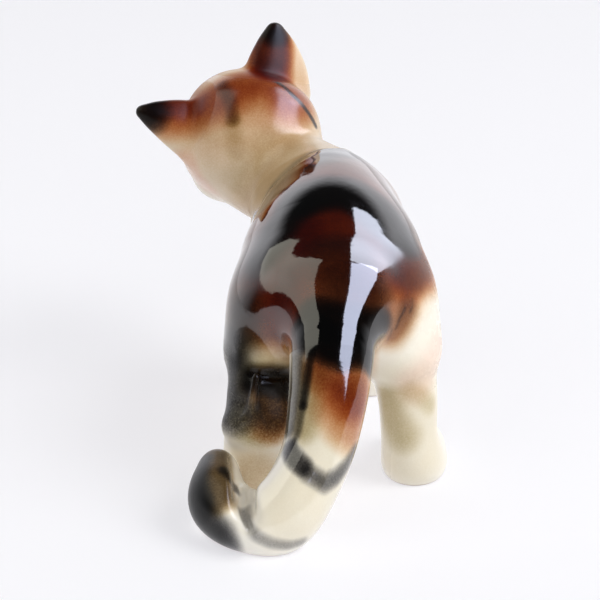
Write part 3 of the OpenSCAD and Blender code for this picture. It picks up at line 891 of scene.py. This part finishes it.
# For each slot: the ground's colour, the roughness, the weight of the clear coat and the grain.
GLAZES = {"dark_glaze": glaze("dark_glaze", (0.86, 0.82, 0.72), 0.07, 0.65, 0.32),
          "cream_glaze": glaze("cream_glaze", (0.87, 0.83, 0.74), 0.12, 0.4, 0.4),
          "rust_glaze": glaze("rust_glaze", (0.86, 0.82, 0.72), 0.09, 0.5, 0.4),
          "smoke_glaze": glaze("smoke_glaze", (0.84, 0.79, 0.68), 0.12, 0.5, 0.9)}
SLOTS = {"body": "dark_glaze", "head": "cream_glaze", "ear_left": "rust_glaze", "ear_right": "rust_glaze",
         "foreleg_left": "cream_glaze", "foreleg_right": "cream_glaze", "hind_leg_left": "smoke_glaze",
         "hind_leg_right": "cream_glaze", "tail": "rust_glaze"}
for node_name, slot in SLOTS.items():
    piece, at = make_piece(node_name, data, tris[label == node_name])
    spray_and_shade = piece.data.color_attributes.new("spray_and_shade", "FLOAT_COLOR", "POINT")
    spray_and_shade.data.foreach_set("color", sprayed_and_shaded(node_name, at).astype(np.float32).ravel())
    bareness = ramp(at[:, 2], 1.5 * SOLE, 0.5 * SOLE)
    for attribute, values in (("bare", bareness), ("dull", dullness(node_name, at))):
        layer = piece.data.attributes.new(attribute, "FLOAT", "POINT")
        layer.data.foreach_set("value", values.astype(np.float32))
    piece.data.materials.append(GLAZES[slot])
    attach(piece, "root")
    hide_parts(node_name)

# ---------------------------------------------------------------- stage
ROOM, SWEEP = 0.03, 1.35                              # brightness of the dim room and of the bright sweep
AIM = np.array([7.0, 30.0, 44.0])                     # spine mm
CAMERA_DISTANCE, CAMERA_RISE = 470.0, math.radians(22)
LAMP_AIM = [0, 20, 40]                                # spine mm
FLOOR = 3                                             # m, half the floor's width
optics = bpy.data.cameras.new("camera")
optics.lens = 134.3
optics.sensor_width = 36
optics.clip_start = 0.01
camera = bpy.data.objects.new("camera", optics)
to_camera = np.array([0, math.cos(CAMERA_RISE), math.sin(CAMERA_RISE)])
camera.location = to_frame(AIM + CAMERA_DISTANCE * to_camera)
camera.rotation_euler = (math.radians(90) - CAMERA_RISE, 0, math.pi)
bpy.context.collection.objects.link(camera)
bpy.context.scene.camera = camera

floor_mesh = bpy.data.meshes.new("floor")
floor_mesh.from_pydata([(-FLOOR, -FLOOR, 0), (FLOOR, -FLOOR, 0), (FLOOR, FLOOR, 0), (-FLOOR, FLOOR, 0)],
                       [], [(0, 1, 2, 3)])
floor = bpy.data.objects.new("floor", floor_mesh)
bpy.context.collection.objects.link(floor)
floor_paint = bpy.data.materials.new("floor")
floor_paint.use_nodes = True
paint = floor_paint.node_tree.nodes["Principled BSDF"].inputs
paint["Base Color"].default_value = (0.42, 0.42, 0.43, 1)
paint["Roughness"].default_value = 0.9
paint["Specular IOR Level"].default_value = 0.1
paint["Emission Color"].default_value = (0.95, 0.95, 1, 1)
paint["Emission Strength"].default_value = 0.565
floor_mesh.materials.append(floor_paint)

world = bpy.data.worlds.new("studio")
bpy.context.scene.world = world
world.use_nodes = True
sky, link = world.node_tree.nodes, world.node_tree.links.new
place = sky.new("ShaderNodeTexCoord")
axes = sky.new("ShaderNodeSeparateXYZ")
link(place.outputs["Generated"], axes.inputs[0])


def fade(axis, start, end, top):
    """Rises from 0 to top as a direction's part along an axis goes from start to end."""
    ramp = sky.new("ShaderNodeMapRange")
    ramp.interpolation_type = "SMOOTHSTEP"
    link(axes.outputs[axis], ramp.inputs["Value"])
    for socket, value in (("From Min", start), ("From Max", end), ("To Min", 0.0), ("To Max", top)):
        ramp.inputs[socket].default_value = value
    return ramp.outputs[0]


# The camera sees an even backdrop. For light and reflections, the sweep behind the kitten is bright, and
# the room above it and in front of it is dim.
bright = sky.new("ShaderNodeMath")
bright.operation = "MULTIPLY_ADD"
link(fade("Y", 0.15, -0.65, 1.0), bright.inputs[0])
link(fade("Z", 0.66, 0.44, SWEEP - ROOM), bright.inputs[1])
bright.inputs[2].default_value = ROOM
ray = sky.new("ShaderNodeLightPath")
shown = sky.new("ShaderNodeMix")
link(ray.outputs["Is Camera Ray"], shown.inputs[MIX_FACTOR])
link(bright.outputs[0], shown.inputs[MIX_VALUES[0]])
shown.inputs[MIX_VALUES[1]].default_value = 1.0
sky["Background"].inputs["Color"].default_value = (0.93, 0.93, 0.975, 1)
link(shown.outputs[0], sky["Background"].inputs["Strength"])


def softbox(name, azimuth, rise, distance, width, height, roll, radiance, tint, seen):
    """An area light aimed at the kitten. Azimuth runs from the camera's side to the kitten's left."""
    lamp = bpy.data.lights.new(name, "AREA")
    lamp.shape = "RECTANGLE"
    lamp.size, lamp.size_y = width, height
    lamp.energy = radiance * math.pi * width * height
    lamp.color = tint
    a, e = math.radians(azimuth), math.radians(rise)
    way = np.array([math.sin(a) * math.cos(e), math.cos(a) * math.cos(e), math.sin(e)])
    light = bpy.data.objects.new(name, lamp)
    light.location = to_frame(LAMP_AIM) + distance * way
    side = np.array([-math.cos(a), math.sin(a), 0])
    up = np.cross(way, side)
    c, s = math.cos(math.radians(roll)), math.sin(math.radians(roll))
    turn = np.stack([c * side - s * up, s * side + c * up, way], 1)
    light.rotation_euler = Matrix(turn.tolist()).to_euler()
    light.visible_camera = False
    light.visible_diffuse = seen == "diffuse"
    light.visible_glossy = seen == "glossy"
    bpy.context.collection.objects.link(light)


# panes seen in the glaze, then the lamps that light the clay
softbox("pane_tall", -128.5, 47, 0.8, 0.47, 0.335, -55, 6.0, (0.86, 0.91, 1.08), seen="glossy")
softbox("pane_streak", -66, 46, 0.8, 1.02, 0.48, -32, 6.6, (0.96, 1.03, 1.32), seen="glossy")
softbox("pane_left", 92, 46, 0.8, 0.85, 0.6, 30, 1.4, (1, 0.97, 0.84), seen="glossy")
softbox("key", -70, 40, 2.0, 1.33, 1.33, 0, 5.4, (1, 0.99, 0.97), seen="diffuse")
softbox("fill", 60, 45, 2.0, 1.78, 1.78, 0, 1.6, (1, 0.98, 0.94), seen="diffuse")
softbox("front", -10, 35, 2.0, 1.6, 1.6, 0, 1.6, (1, 0.99, 0.96), seen="diffuse")
bpy.context.scene.view_settings.view_transform = "Standard"
